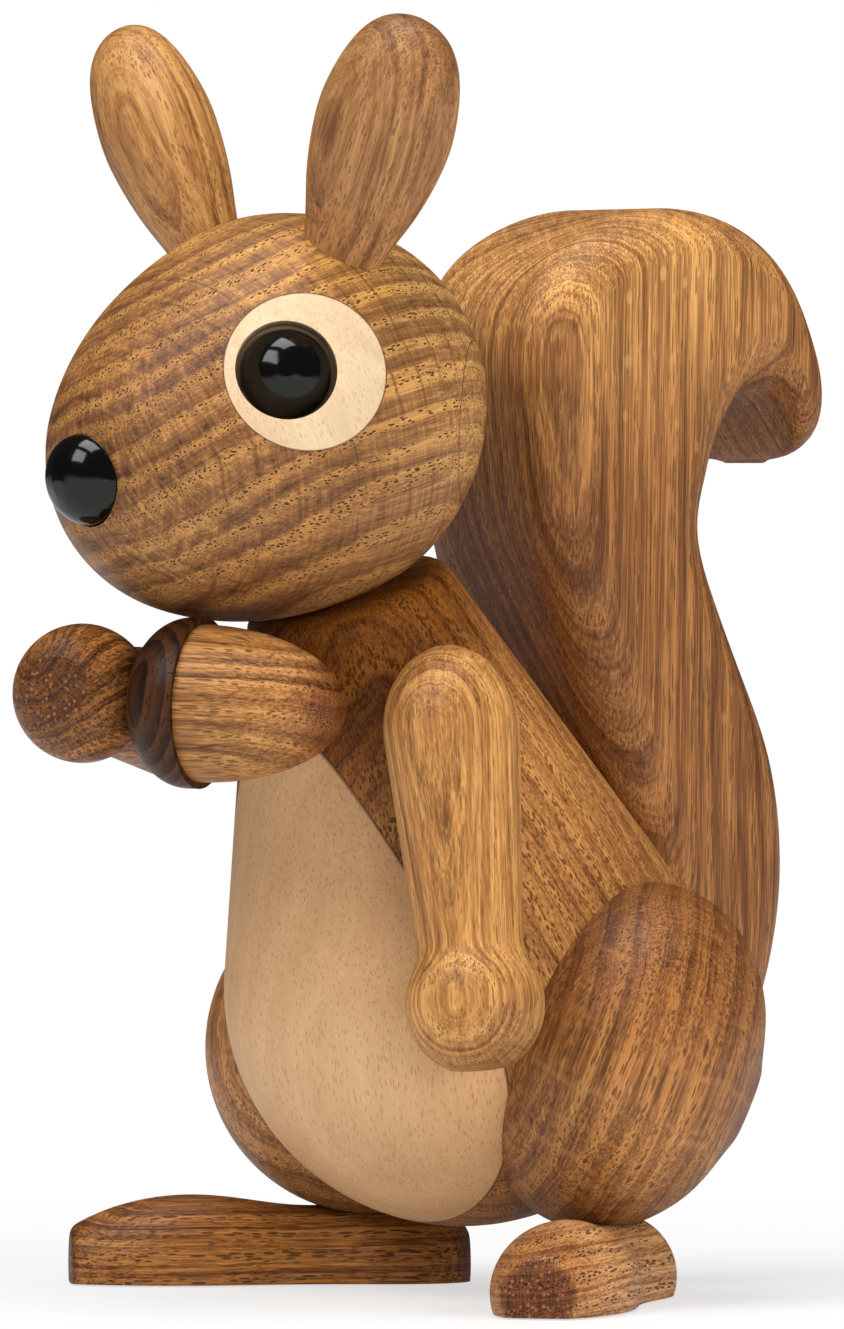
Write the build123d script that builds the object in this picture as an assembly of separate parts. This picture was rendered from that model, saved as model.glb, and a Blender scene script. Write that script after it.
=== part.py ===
from build123d import *
import math
import os

os.makedirs("parts", exist_ok=True)

# A turned wooden squirrel ornament that sits upright on two flat-bottomed feet.
# All lengths are millimetres. Z is up, the squirrel faces -Y and its left side is +X.

# Fits shared by all pieces
glue_gap = 0.02
running_gap = 0.05
overrun = 2.0

# Body, turned about an axis that leans forward, with a pale slab glued to its front
belly_radius = 32.7
belly_height = 41.6
belly_forward = 0.85
body_reach = 58.9
body_lean = 20.9
body_taper = 19.5
body_top_round = 3.0
belly_seam_offset = 18.2
belly_dowel_radius = 2.5
belly_dowel_depth = 7.0

# Thighs, flattened balls hollowed to fit the body
thigh_radius = 24.4
thigh_half_thickness = 18.7
thigh_out = 25.3
thigh_back = 5.9
thigh_drop = 8.7
thigh_turn = 50.0
thigh_dip = 22.0
thigh_dowel_radius = 3.0
thigh_dowel_inner = 8.0
thigh_dowel_outer = 9.0

# Feet, turned peanut shapes planed flat underneath
foot_length = 55.5
foot_radius = 9.4
foot_axis_height = 2.7
foot_heel_centre = 46.9
foot_heel_out = 21.5
foot_heel_back = 7.6
foot_splay = 36.0
foot_dowel_radius = 2.0
foot_dowel_floor = 3.0
foot_dowel_length = 20.0
foot_profile_shares = [
    (0.10, 0.80), (0.20, 0.95), (0.31, 1.0), (0.43, 0.94),
    (0.57, 0.84), (0.72, 0.88), (0.84, 0.93), (0.94, 0.80),
]
foot_toe_end_share = 0.52
foot_toe_round = 2.0
foot_heel_end_share = 0.42

# Tail, a thick board sawn to an S shape with well rounded edges
tail_width = 33.0
tail_height = 121.8
tail_depth = 53.6
tail_front_place = 2.2
tail_foot_height = 27.0
tail_edge_round = 8.0
tail_dowel_radius = 2.5
tail_dowel_outer = 7.0
tail_dowel_inner = 8.0
tail_dowel_height = 39.0
tail_dowel_spacing = 10.0
# Front and back points of each cross section, as shares of the depth and height,
# then the section's width and corner rounding, as shares of their full values
tail_section_shares = [
    (0.53, 0.005, 0.65, 0.010, 0.70, 0.34),
    (0.46, 0.074, 0.746, 0.070, 0.93, 0.80),
    (0.397, 0.164, 0.823, 0.170, 1.0, 1.0),
    (0.31, 0.290, 0.845, 0.271, 1.0, 1.0),
    (0.226, 0.390, 0.806, 0.374, 1.0, 1.0),
    (0.14, 0.480, 0.715, 0.464, 1.0, 1.0),
    (0.065, 0.570, 0.619, 0.550, 1.0, 1.0),
    (0.015, 0.660, 0.558, 0.632, 1.0, 1.0),
    (0.0, 0.750, 0.582, 0.690, 1.0, 1.0),
    (0.0, 0.857, 0.626, 0.743, 1.0, 1.0),
    (0.055, 0.922, 0.670, 0.773, 1.0, 1.0),
    (0.289, 0.986, 0.706, 0.790, 1.0, 1.0),
    (0.555, 0.998, 0.750, 0.795, 1.0, 1.0),
    (0.790, 0.957, 0.795, 0.790, 1.0, 1.0),
    (0.898, 0.874, 0.828, 0.775, 1.0, 0.65),
    (0.950, 0.799, 0.858, 0.749, 0.96, 0.46),
    (0.960, 0.758, 0.880, 0.730, 0.83, 0.31),
    (0.952, 0.733, 0.900, 0.718, 0.60, 0.18),
    (0.936, 0.717, 0.916, 0.711, 0.26, 0.06),
]
tail_round_limit_share = 0.46

# Head, a turned egg whose long axis points at the nose
head_radius = 26.8
head_front_length = 39.0
head_rear_length = 27.4
head_seat_sink = 0.65
head_back = 0.1
head_dip = 2.0
head_rear_slimness = 1.1
neck_dowel_radius = 4.0
neck_dowel_up = 14.0
neck_dowel_down = 16.0
neck_ring_radius = 6.5
neck_ring_height = 2.0

# Ears, turned leaves flattened front to back
ear_length = 34.6
ear_half_width = 10.0
ear_half_thickness = 7.4
ear_out = 14.2
ear_rear = 5.4
ear_rise = 21.2
ear_splay = 32.2
ear_lean = 17.0
ear_turn = 5.0
ear_dowel_radius = 2.0
ear_dowel_down = 7.0
ear_dowel_up = 8.0
ear_profile_shares = [
    (0.05, 0.65), (0.23, 0.84), (0.41, 0.965), (0.55, 1.0), (0.71, 0.93), (0.84, 0.79), (0.94, 0.55),
]
ear_root_share = 0.56
ear_root_depth_share = 0.12

# Eyes, a pale plug turned flush with the head and a glossy bead set in it
eye_disc_radius = 10.9
eye_disc_depth = 11.0
eye_forward = 13.75
eye_rise = 11.13
eye_yaw = 34.5
eye_tilt = 21.3
bead_radius = 6.1
bead_gap = 0.75
bead_depth = 5.0
bead_forward = 2.4
bead_rise = 0.8
bead_skirt = 2.0
bead_shank_radius = 1.5
bead_shank_length = 3.0

# Nose button
nose_radius = 6.3
nose_height = 5.1
nose_seat_depth = 1.6
nose_tilt = 7.8
nose_shank_radius = 2.0
nose_shank_length = 8.0

# Arms, turned skittles held at the shoulder by a friction pin
arm_reach = 38.35
arm_radius = 9.2
arm_top = 10.4
arm_wide_offset = 1.4
wrist_radius = 7.0
wrist_round = 6.5
hand_radius = 9.4
hand_flat_radius = 4.2
shoulder_below_neck = 18.2
shoulder_angle = 68.4
shoulder_gap = 0.5
left_arm_angle = 17.5
right_arm_angle = 115.5
shoulder_pin_radius = 2.5
shoulder_pin_inner = 14.0
shoulder_pin_outer = 3.0
washer_radius = 4.2
washer_sink_body = 0.5
washer_sink_arm = 0.9
washer_side_gap = 0.3

# Acorn held against the right palm by two small magnets
palm_turn = 9.1
palm_drop = 0.7
palm_flat_radius = 4.4
cap_radius = 11.5
cap_height = 9.2
cap_rim_height = 1.6
cap_socket_depth = 4.0
nut_radius = 10.6
nut_length = 20.4
nut_neck_radius = 7.5
magnet_radius = 2.4
magnet_height = 1.5


# Small helpers


def quarter_oval(radius, height, base, slimness=1.0):
    """A quarter of an oval from its widest place to its end on the axis, slimmer above 1."""
    steps = [15 * k for k in range(1, 6)]
    inner = [
        (radius * cos(t) ** slimness, base + height * sin(t) ** slimness) for t in steps
    ]
    ends = ((0, math.copysign(1, height)), (-1, 0))
    return Spline((radius, base), *inner, (0, base + height), tangents=ends)


def egg(radius, up, down, down_slimness=1.0):
    """Turn an egg of one radius with its own length above and below Z = 0."""
    outline = make_face([
        quarter_oval(radius, up, 0),
        quarter_oval(radius, -down, 0, down_slimness),
        Line((0, up), (0, -down)),
    ])
    return revolve(Plane.XZ * outline, Axis.Z)


def dome(radius, height):
    """Turn a dome that stands on Z = 0."""
    outline = make_face([
        quarter_oval(radius, height, 0), *Polyline((0, height), (0, 0), (radius, 0)).edges()
    ])
    return revolve(Plane.XZ * outline, Axis.Z)


def rod(radius, low, high):
    """A round rod on Z between two heights."""
    return Pos(0, 0, (low + high) / 2) * Cylinder(radius, high - low)


def mirrored(shape):
    """The same piece on the squirrel's other side."""
    return mirror(shape, Plane.YZ)


def sin(angle):
    return math.sin(math.radians(angle))


def cos(angle):
    return math.cos(math.radians(angle))


# Frames of the body, the neck and the head

body_frame = Pos(0, -belly_forward, belly_height) * Rot(body_lean, 0, 0)
neck_frame = body_frame * Pos(0, 0, body_reach)
head_rise = head_radius - head_seat_sink
head_frame = neck_frame * Pos(0, head_back, head_rise) * Rot(head_dip, 0, 0)

# Body outline, a ball with a tangent cone cut flat at the neck


def body_solid(grow):
    """The whole turned body, made larger all round by a small gap."""
    ball = belly_radius + grow
    reach = body_reach + grow
    side = (ball * cos(body_taper), ball * sin(body_taper))
    top = ((ball - reach * sin(body_taper)) / cos(body_taper), reach)
    outline = make_face([
        CenterArc((0, 0), ball, -90, 90 + body_taper),
        *Polyline(side, top, (0, reach), (0, -ball)).edges(),
    ])
    corner = outline.vertices().sort_by(Axis.Y)[-2:].sort_by(Axis.X)[-1]
    outline = fillet(corner, body_top_round)
    return body_frame * revolve(Plane.XZ * outline, Axis.Z)


body_blank = body_solid(0)
body_grown = body_solid(glue_gap)

# The pale front slab, the flat glue joint behind it and the dowel across the joint

slab_size = belly_radius + belly_radius + body_reach + body_reach
front_half = Pos(0, -belly_seam_offset - slab_size / 2, 0) * Box(slab_size, slab_size, slab_size)
rear_half = Pos(0, -belly_seam_offset + slab_size / 2, 0) * Box(slab_size, slab_size, slab_size)
belly_insert = body_blank & (body_frame * front_half)
body_core = body_blank & (body_frame * rear_half)
belly_dowel_frame = body_frame * Pos(0, -belly_seam_offset, 0) * Rot(90, 0, 0)
belly_dowel = belly_dowel_frame * rod(belly_dowel_radius, -belly_dowel_depth, belly_dowel_depth)
belly_hole = belly_dowel_frame * rod(
    belly_dowel_radius + glue_gap, -belly_dowel_depth - glue_gap, belly_dowel_depth + glue_gap
)
belly_insert = belly_insert - belly_hole
body_core = body_core - belly_hole

# Thighs

belly_centre = Vector(0, -belly_forward, belly_height)
thigh_centre = Vector(thigh_out, thigh_back, belly_height - thigh_drop)
thigh_normal = Vector(
    cos(thigh_dip) * cos(thigh_turn), cos(thigh_dip) * sin(thigh_turn), -sin(thigh_dip)
)
thigh_frame = Plane(origin=thigh_centre, z_dir=thigh_normal).location
thigh_blank = thigh_frame * egg(thigh_radius, thigh_half_thickness, thigh_half_thickness)
thigh_grown = thigh_frame * egg(
    thigh_radius + glue_gap, thigh_half_thickness + glue_gap, thigh_half_thickness + glue_gap
)
thigh_reach = (thigh_centre - belly_centre).normalized()
thigh_dowel_frame = Plane(origin=belly_centre + thigh_reach * belly_radius, z_dir=thigh_reach).location
thigh_dowel = thigh_dowel_frame * rod(thigh_dowel_radius, -thigh_dowel_inner, thigh_dowel_outer)
thigh_hole = thigh_dowel_frame * rod(
    thigh_dowel_radius + glue_gap, -thigh_dowel_inner - glue_gap, thigh_dowel_outer + glue_gap
)
thigh = thigh_blank - body_grown - thigh_hole
body_core = body_core - thigh_hole - mirrored(thigh_hole)

# Feet, with the dowel that runs up through the thigh into the body

toe_end_radius = foot_radius * foot_toe_end_share
heel_end_radius = foot_radius * foot_heel_end_share
foot_points = [(foot_radius * r, foot_length * t) for t, r in foot_profile_shares]
foot_curve = Spline((toe_end_radius, 0), *foot_points, (heel_end_radius, foot_length))
foot_ends = Polyline(
    (heel_end_radius, foot_length), (0, foot_length), (0, 0), (toe_end_radius, 0)
)
foot_face = make_face([foot_curve, *foot_ends.edges()])
toe_corner = foot_face.vertices().sort_by_distance((toe_end_radius, 0))[0]
foot_blank = revolve(Plane.XZ * fillet(toe_corner, foot_toe_round), Axis.Z)
toe_direction = Vector(sin(foot_splay), -cos(foot_splay), 0)
heel_place = Vector(foot_heel_out, foot_heel_back, foot_axis_height)
foot_frame = Plane(origin=heel_place + toe_direction * foot_heel_centre, z_dir=-toe_direction).location
ground_size = foot_length + foot_length
ground = Pos(heel_place.X, heel_place.Y, -foot_length) * Box(ground_size, ground_size, ground_size)
foot = foot_frame * foot_blank - ground - thigh_grown - body_grown
foot_dowel_frame = Pos(foot_heel_out, foot_heel_back, foot_dowel_floor)
foot_dowel = foot_dowel_frame * rod(foot_dowel_radius, 0, foot_dowel_length)
foot_hole = foot_dowel_frame * rod(
    foot_dowel_radius + glue_gap, -glue_gap, foot_dowel_length + glue_gap
)
foot = foot - foot_hole
thigh = thigh - foot_hole
body_core = body_core - foot_hole - mirrored(foot_hole)

# Tail


def tail_point(depth_share, height_share):
    return Vector(
        0, tail_front_place + tail_depth * depth_share, tail_foot_height + tail_height * height_share
    )


tail_sections = []
for front_y, front_z, back_y, back_z, wide, rounding in tail_section_shares:
    front = tail_point(front_y, front_z)
    back = tail_point(back_y, back_z)
    across = back - front
    section_plane = Plane(origin=(front + back) / 2, x_dir=Vector(1, 0, 0), z_dir=across.cross(Vector(1, 0, 0)))
    corner_round = min(tail_edge_round * rounding, across.length * tail_round_limit_share)
    tail_sections.append(
        section_plane * RectangleRounded(tail_width * wide, across.length, corner_round)
    )
tail = loft(tail_sections) - body_grown
for step in range(2):
    dowel_frame = Pos(0, belly_radius, tail_dowel_height + tail_dowel_spacing * step) * Rot(-90, 0, 0)
    dowel = dowel_frame * rod(tail_dowel_radius, -tail_dowel_inner, tail_dowel_outer)
    hole = dowel_frame * rod(
        tail_dowel_radius + glue_gap, -tail_dowel_inner - glue_gap, tail_dowel_outer + glue_gap
    )
    tail = tail - hole
    body_core = body_core - hole
    if step == 0:
        tail_dowel_lower = dowel
    else:
        tail_dowel_upper = dowel

# Head, with the flat that turns on the body and the dowel it turns about

head_blank = head_frame * Rot(90, 0, 0) * egg(
    head_radius, head_front_length, head_rear_length, head_rear_slimness
)
head_grown = head_frame * Rot(90, 0, 0) * egg(
    head_radius + glue_gap,
    head_front_length + glue_gap,
    head_rear_length + glue_gap,
    head_rear_slimness,
)
below_size = head_radius + head_radius
below_neck = neck_frame * Pos(0, 0, -head_radius) * Box(below_size, below_size, below_size)
head = head_blank - below_neck
neck_dowel = neck_frame * rod(neck_dowel_radius, -neck_dowel_down, neck_dowel_up)
head = head - neck_frame * rod(neck_dowel_radius + glue_gap, -overrun, neck_dowel_up + glue_gap)
body_core = body_core - neck_frame * rod(
    neck_dowel_radius + running_gap, -neck_dowel_down - running_gap, overrun
)
neck_ring = neck_frame * (
    rod(neck_ring_radius, -neck_ring_height, 0)
    - rod(neck_dowel_radius + running_gap, -neck_ring_height, 0)
)
body_core = body_core - neck_frame * rod(
    neck_ring_radius + glue_gap, -neck_ring_height - glue_gap, overrun
)

# Ears

ear_points = [(ear_half_width * r, ear_length * t) for t, r in ear_profile_shares]
ear_root = (ear_half_width * ear_root_share, -ear_length * ear_root_depth_share)
ear_curve = Spline(
    ear_root, *ear_points, (0, ear_length), tangents=((0, 1), (-1, 0)), tangent_scalars=(1, 1)
)
ear_ends = Polyline((0, ear_length), (0, ear_root[1]), ear_root)
ear_turned = revolve(Plane.XZ * make_face([ear_curve, *ear_ends.edges()]), Axis.Z)
ear_leaf = scale(ear_turned, by=(1, ear_half_thickness / ear_half_width, 1))
ear_frame = (
    head_frame
    * Pos(ear_out, ear_rear, ear_rise)
    * Rot(0, ear_splay, 0)
    * Rot(-ear_lean, 0, 0)
    * Rot(0, 0, ear_turn)
)
ear_dowel = ear_frame * rod(ear_dowel_radius, -ear_dowel_down, ear_dowel_up)
ear_hole = ear_frame * rod(
    ear_dowel_radius + glue_gap, -ear_dowel_down - glue_gap, ear_dowel_up + glue_gap
)
ear = ear_frame * ear_leaf - head_grown - ear_hole
head = head - ear_hole - mirrored(ear_hole)

# Eyes

eye_ring_radius = head_radius * math.sqrt(1 - (eye_forward / head_front_length) ** 2)
eye_out = math.sqrt(eye_ring_radius**2 - eye_rise**2)
eye_frame = (
    head_frame
    * Pos(eye_out, -eye_forward, eye_rise)
    * Rot(0, 0, -eye_yaw)
    * Rot(0, 90 - eye_tilt, 0)
)
bead_frame = eye_frame * Pos(-bead_rise, -bead_forward, -bead_depth)
eye_disc = eye_frame * rod(eye_disc_radius, -eye_disc_depth, eye_disc_radius) & head_blank
bead_pocket = bead_frame * rod(bead_radius + bead_gap, -bead_skirt - glue_gap, head_radius)
bead_shank_hole = bead_frame * rod(
    bead_shank_radius + glue_gap, -bead_skirt - bead_shank_length - glue_gap, 0
)
eye_disc = eye_disc - bead_pocket - bead_shank_hole
eye_bead = bead_frame * (
    egg(bead_radius, bead_radius, bead_skirt)
    + rod(bead_radius, -bead_skirt, 0)
    + rod(bead_shank_radius, -bead_skirt - bead_shank_length, 0)
)
eye_pocket = eye_frame * rod(eye_disc_radius + glue_gap, -eye_disc_depth - glue_gap, eye_disc_radius)
head = head - eye_pocket - bead_shank_hole - mirrored(eye_pocket) - mirrored(bead_shank_hole)

# Nose button

nose_frame = head_frame * Rot(-nose_tilt, 0, 0) * Pos(0, -head_front_length + nose_seat_depth, 0) * Rot(90, 0, 0)
nose_button = nose_frame * (
    dome(nose_radius, nose_height) + rod(nose_shank_radius, -nose_shank_length, 0)
)
head = head - nose_frame * rod(nose_radius + glue_gap, 0, nose_height)
head = head - nose_frame * rod(nose_shank_radius + glue_gap, -nose_shank_length - glue_gap, 0)

# Arms

shoulder_reach = body_reach - shoulder_below_neck
surface_radius = (belly_radius - shoulder_reach * sin(body_taper)) / cos(body_taper)
shoulder_frame = (
    body_frame
    * Pos(0, 0, shoulder_reach)
    * Rot(0, 0, shoulder_angle)
    * Pos(0, -surface_radius, 0)
    * Rot(90 - body_taper, 0, 0)
)
arm_rise = shoulder_gap + arm_radius
wrist_place = arm_reach - math.sqrt(hand_radius**2 - wrist_radius**2)
hand_end = arm_reach + math.sqrt(hand_radius**2 - hand_flat_radius**2)
wrist_angle = math.degrees(math.atan2(wrist_place - arm_reach, wrist_radius))
flat_angle = math.degrees(math.atan2(hand_end - arm_reach, hand_flat_radius))
arm_face = make_face([
    quarter_oval(arm_radius, -arm_top - arm_wide_offset, arm_wide_offset),
    Line((arm_radius, arm_wide_offset), (wrist_radius, wrist_place)),
    CenterArc((0, arm_reach), hand_radius, wrist_angle, flat_angle - wrist_angle),
    *Polyline((hand_flat_radius, hand_end), (0, hand_end), (0, -arm_top)).edges(),
])
wrist_corner = arm_face.vertices().sort_by_distance((wrist_radius, wrist_place))[0]
arm_turned = revolve(Plane.XZ * fillet(wrist_corner, wrist_round), Axis.Z)


def arm_frame(swing_angle):
    """The arm's own frame: Z runs from shoulder to hand and X points away from the body."""
    return (
        shoulder_frame * Pos(0, 0, arm_rise) * Rot(0, 0, -swing_angle) * Rot(90, 0, 0) * Rot(0, 0, 90)
    )


shoulder_pin = shoulder_frame * rod(shoulder_pin_radius, -shoulder_pin_inner, arm_rise + shoulder_pin_outer)
body_pin_hole = shoulder_frame * rod(shoulder_pin_radius + glue_gap, -shoulder_pin_inner - glue_gap, overrun)
arm_pin_hole = shoulder_frame * rod(
    shoulder_pin_radius + running_gap, 0, arm_rise + shoulder_pin_outer + running_gap
)
washer_top = shoulder_gap + washer_sink_arm
shoulder_washer = shoulder_frame * (
    rod(washer_radius, -washer_sink_body, washer_top - running_gap)
    - rod(shoulder_pin_radius + glue_gap, -washer_sink_body, washer_top)
)
body_washer_seat = shoulder_frame * rod(washer_radius + glue_gap, -washer_sink_body - glue_gap, overrun)
arm_washer_seat = shoulder_frame * rod(washer_radius + washer_side_gap, -overrun, washer_top)
body_core = body_core - body_pin_hole - body_washer_seat
body_core = body_core - mirrored(body_pin_hole) - mirrored(body_washer_seat)
arm_left = arm_frame(left_arm_angle) * arm_turned - arm_pin_hole - arm_washer_seat
arm_right = arm_frame(right_arm_angle) * arm_turned - arm_pin_hole - arm_washer_seat

# Acorn, and the palm it is held against. Drawn on the left, then mirrored with the right arm

palm_distance = math.sqrt(hand_radius**2 - palm_flat_radius**2)
palm_frame = (
    arm_frame(right_arm_angle)
    * Pos(0, 0, arm_reach)
    * Rot(0, 0, -palm_turn)
    * Rot(0, -90, 0)
    * Pos(0, -palm_drop, palm_distance)
)
arm_right = arm_right - palm_frame * rod(hand_radius, 0, overrun)
arm_right = arm_right - palm_frame * rod(magnet_radius + glue_gap, -magnet_height - glue_gap, 0)
hand_magnet = palm_frame * rod(magnet_radius, -magnet_height, 0)
acorn_frame = palm_frame * Pos(0, 0, running_gap)
acorn_magnet = acorn_frame * rod(magnet_radius, 0, magnet_height)
cap_crown = cap_height - cap_rim_height
cap_bulb = cap_crown / math.sqrt(1 - (palm_flat_radius / cap_radius) ** 2)
cap_solid = Pos(0, 0, cap_crown) * egg(cap_radius, cap_rim_height, cap_bulb) + rod(
    cap_radius, cap_crown, cap_height
)
cap_solid = cap_solid & rod(cap_radius, 0, cap_height)
cap_solid = cap_solid - rod(nut_neck_radius + glue_gap, cap_height - cap_socket_depth - glue_gap, cap_height)
cap_solid = cap_solid - rod(magnet_radius + glue_gap, 0, magnet_height + glue_gap)
acorn_cap = acorn_frame * cap_solid
acorn_nut = acorn_frame * Pos(0, 0, cap_height) * (
    dome(nut_radius, nut_length) + rod(nut_neck_radius, -cap_socket_depth, 0)
)

# Every piece by name, then moved together so that the origin is under the middle of the part

pieces = {
    "body_core": body_core,
    "belly_insert": belly_insert,
    "belly_dowel": belly_dowel,
    "thigh_left": thigh,
    "thigh_right": mirrored(thigh),
    "thigh_dowel_left": thigh_dowel,
    "thigh_dowel_right": mirrored(thigh_dowel),
    "foot_left": foot,
    "foot_right": mirrored(foot),
    "foot_dowel_left": foot_dowel,
    "foot_dowel_right": mirrored(foot_dowel),
    "tail": tail,
    "tail_dowel_lower": tail_dowel_lower,
    "tail_dowel_upper": tail_dowel_upper,
    "head": head,
    "neck_dowel": neck_dowel,
    "neck_ring": neck_ring,
    "ear_left": ear,
    "ear_right": mirrored(ear),
    "ear_dowel_left": ear_dowel,
    "ear_dowel_right": mirrored(ear_dowel),
    "eye_disc_left": eye_disc,
    "eye_disc_right": mirrored(eye_disc),
    "eye_bead_left": eye_bead,
    "eye_bead_right": mirrored(eye_bead),
    "nose_button": nose_button,
    "arm_left": arm_left,
    "arm_right": mirrored(arm_right),
    "shoulder_pin_left": shoulder_pin,
    "shoulder_pin_right": mirrored(shoulder_pin),
    "shoulder_washer_left": shoulder_washer,
    "shoulder_washer_right": mirrored(shoulder_washer),
    "hand_magnet": mirrored(hand_magnet),
    "acorn_cap": mirrored(acorn_cap),
    "acorn_nut": mirrored(acorn_nut),
    "acorn_magnet": mirrored(acorn_magnet),
}
boxes = [piece.bounding_box() for piece in pieces.values()]
middle_x = (min(box.min.X for box in boxes) + max(box.max.X for box in boxes)) / 2
middle_y = (min(box.min.Y for box in boxes) + max(box.max.Y for box in boxes)) / 2
for name, piece in pieces.items():
    export_step(Pos(-middle_x, -middle_y, 0) * piece, f"parts/{name}.step")
print("middle", middle_x, middle_y)
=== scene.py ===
import logging
import math
from dataclasses import dataclass
from enum import Enum
from typing import Any, ClassVar, Sequence, Union

import bpy
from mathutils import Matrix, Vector

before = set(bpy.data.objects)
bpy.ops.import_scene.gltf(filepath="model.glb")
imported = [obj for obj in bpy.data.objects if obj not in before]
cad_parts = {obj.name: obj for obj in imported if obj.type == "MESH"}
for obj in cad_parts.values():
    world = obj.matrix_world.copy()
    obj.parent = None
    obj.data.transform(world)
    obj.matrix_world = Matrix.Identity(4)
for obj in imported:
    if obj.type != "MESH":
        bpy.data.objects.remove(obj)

logging.basicConfig(level=logging.INFO, format="%(message)s")
LOG = logging.getLogger("squirrel")
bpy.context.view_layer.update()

MM = 0.001
Colour = tuple[float, float, float]
Point = tuple[float, float, float]
Number = Union[float, "Link"]
SocketKey = Union[int, str]

# The turned body leans forward by this angle
LEAN = math.radians(20.9)
BODY_UP: Point = (0.0, -math.sin(LEAN), math.cos(LEAN))
BODY_FRONT: Point = (0.0, -math.cos(LEAN), -math.sin(LEAN))
UPRIGHT: Point = (0.0, 0.0, 1.0)
ORIGIN: Point = (0.0, 0.0, 0.0)

# The Mix node's colour sockets, which share their names with its number and vector sockets
MIX_FIRST, MIX_SECOND, MIX_RESULT = 6, 7, 2


class Link:
    """A socket on its way through a material's nodes, with the sums a number has."""

    def __init__(self, graph: "Graph", socket: bpy.types.NodeSocket) -> None:
        """Keeps the socket and the graph that it is in."""
        self.graph = graph
        self.socket = socket

    def _sum(self, operation: str, *values: Number) -> "Link":
        """Adds one Math node on the given values."""
        node = self.graph.make("ShaderNodeMath", {"operation": operation}, dict(enumerate(values)))
        return Link(self.graph, node.outputs[0])

    def __add__(self, other: Number) -> "Link":
        """self + other."""
        return self._sum("ADD", self, other)

    __radd__ = __add__

    def __sub__(self, other: Number) -> "Link":
        """self - other."""
        return self._sum("SUBTRACT", self, other)

    def __rsub__(self, other: Number) -> "Link":
        """other - self."""
        return self._sum("SUBTRACT", other, self)

    def __mul__(self, other: Number) -> "Link":
        """self * other."""
        return self._sum("MULTIPLY", self, other)

    __rmul__ = __mul__

    def __truediv__(self, other: Number) -> "Link":
        """self / other."""
        return self._sum("DIVIDE", self, other)

    def __pow__(self, other: Number) -> "Link":
        """self ** other."""
        return self._sum("POWER", self, other)

    def __abs__(self) -> "Link":
        """The size of self, without its sign."""
        return self._sum("ABSOLUTE", self)

    def part(self) -> "Link":
        """What is left of self above the whole number below it."""
        return self._sum("FRACT", self)

    def larger(self, other: "Link") -> "Link":
        """The larger of self and other."""
        return self._sum("MAXIMUM", self, other)

    def turn_of(self, other: "Link") -> "Link":
        """The angle of the point (other, self) round the origin."""
        return self._sum("ARCTAN2", self, other)

    def clamp(self) -> "Link":
        """self held between 0 and 1."""
        return self.graph.link("ShaderNodeClamp", {}, {0: self})

    def rise(self, low: float, high: float) -> "Link":
        """A smooth step from 0 at low to 1 at high.

        Args:
            low: where the step starts.
            high: where it ends. It may be below low, for a step down.

        Returns:
            The step's value.
        """
        return self.graph.link("ShaderNodeMapRange", {"interpolation_type": "SMOOTHSTEP"}, {
            0: self, 1: low, 2: high, 3: 0.0, 4: 1.0})


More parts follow.
